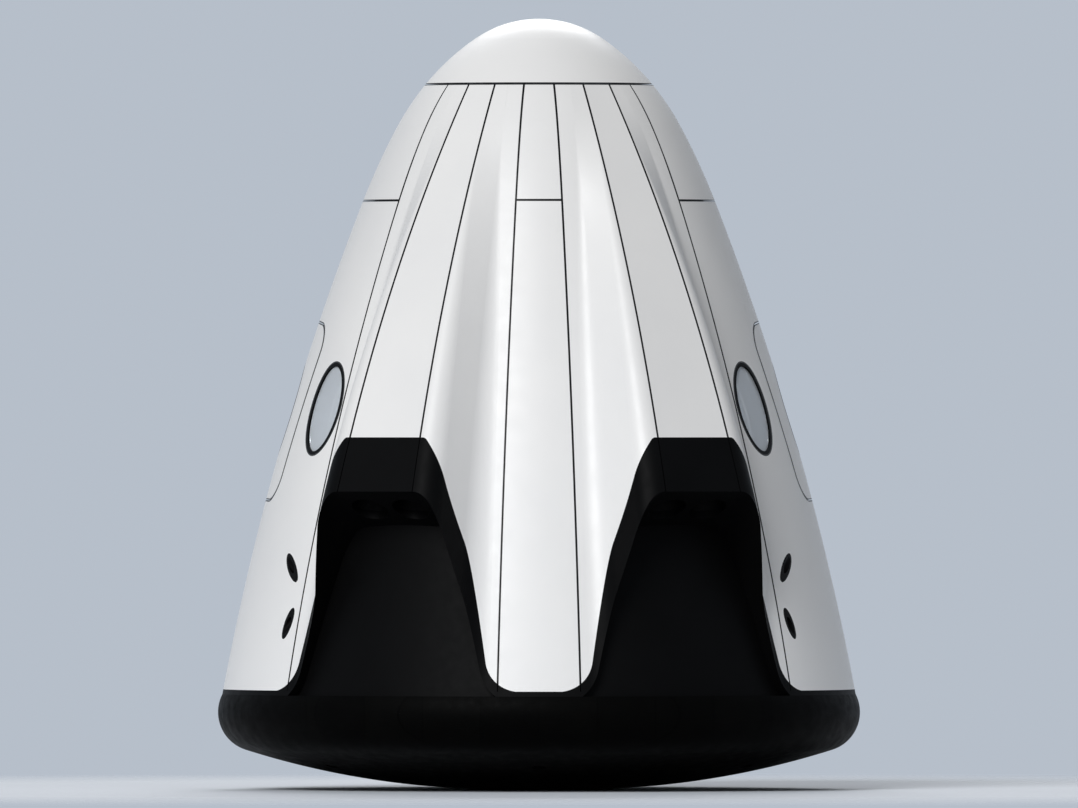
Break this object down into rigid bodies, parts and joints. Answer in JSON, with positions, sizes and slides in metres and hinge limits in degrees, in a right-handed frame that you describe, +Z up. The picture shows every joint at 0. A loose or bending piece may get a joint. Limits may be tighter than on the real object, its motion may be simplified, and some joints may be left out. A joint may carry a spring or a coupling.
{
  "type": "crew space capsule",
  "caption": "Blunt-based crew capsule with faired engine nacelles, oval windows, hinged side hatches, and a hinged nose cap over a docking port.",
  "frame": {"origin": "middle of the flat underside of the heat shield, on the ground", "axes": "+Z up along the capsule's axis, -Y the front, +X the right side with one of the hatches"},
  "size_m": [3.9996, 3.999, 4.7988],
  "materials": {
    "white_paint": "gloss white paint",
    "ablator": "matte black heat shield",
    "black_coating": "matte black coating",
    "nozzle_metal": "dark heat-stained metal",
    "window_glass": "clear pane",
    "frame_black": "satin black frame",
    "hinge_steel": "brushed",
    "bare_alloy": "milled alloy",
    "seat_shell": "dark composite shell",
    "console_shell": "pale composite",
    "screen_glass": "dark display glass"
  },
  "bodies": {
    "capsule": {"abort_engine_nozzles": "nozzle_metal", "base_ring": "black_coating", "bay_wall_front_left": "black_coating", "bay_wall_front_right": "black_coating", "bay_wall_rear_left": "black_coating", "bay_wall_rear_right": "black_coating", "cabin_floor": "bare_alloy", "console_screens": "screen_glass", "control_console": "console_shell", "docking_ring": "bare_alloy", "docking_tunnel": "bare_alloy", "engine_shroud_front_left": "black_coating", "engine_shroud_front_right": "black_coating", "engine_shroud_rear_left": "black_coating", "engine_shroud_rear_right": "black_coating", "forward_deck": "bare_alloy", "forward_hatch_hinge": "hinge_steel", "front_panel_lower": "white_paint", "front_panel_upper": "white_paint", "heat_shield": "ablator", "left_hatch_hinges": "hinge_steel", "left_wall_lower": "white_paint", "left_wall_upper": "white_paint", "nacelle_fairing_front_left": "white_paint", "nacelle_fairing_front_right": "white_paint", "nacelle_fairing_rear_left": "white_paint", "nacelle_fairing_rear_right": "white_paint", "nose_cap_hinge": "hinge_steel", "rear_panel_lower": "white_paint", "rear_panel_upper": "white_paint", "right_hatch_hinges": "hinge_steel", "right_wall_lower": "white_paint", "right_wall_upper": "white_paint", "seat_1": "seat_shell", "seat_2": "seat_shell", "seat_3": "seat_shell", "seat_4": "seat_shell", "seat_rails": "bare_alloy", "thruster_nozzles": "nozzle_metal", "window_frames": "frame_black", "window_glass": "window_glass"},
    "nose_cap": {"nose_cap": "white_paint"},
    "right_hatch": {"right_hatch": "white_paint", "right_hatch_window_frame": "frame_black", "right_hatch_window_glass": "window_glass"},
    "left_hatch": {"left_hatch": "white_paint", "left_hatch_window_frame": "frame_black", "left_hatch_window_glass": "window_glass"},
    "forward_hatch": {"forward_hatch": "bare_alloy"}
  },
  "joints": [
    {"name": "nose_cap_hinge", "type": "hinge", "parent": "capsule", "child": "nose_cap", "pos_m": [0, 0.75, 4.3895], "axis": [-1, 0, 0], "range_deg": [0, 110]},
    {"name": "right_hatch_hinge", "type": "hinge", "parent": "capsule", "child": "right_hatch", "pos_m": [1.51439, 0.461, 2.35002], "axis": [-0.2867, 0, 0.958], "range_deg": [0, 100]},
    {"name": "left_hatch_hinge", "type": "hinge", "parent": "capsule", "child": "left_hatch", "pos_m": [-1.51439, 0.461, 2.35002], "axis": [-0.2867, 0, -0.958], "range_deg": [0, 100]},
    {"name": "forward_hatch_hinge", "type": "hinge", "parent": "capsule", "child": "forward_hatch", "pos_m": [0, 0.5, 3.889], "axis": [1, 0, 0], "range_deg": [0, 90]}
  ]
}
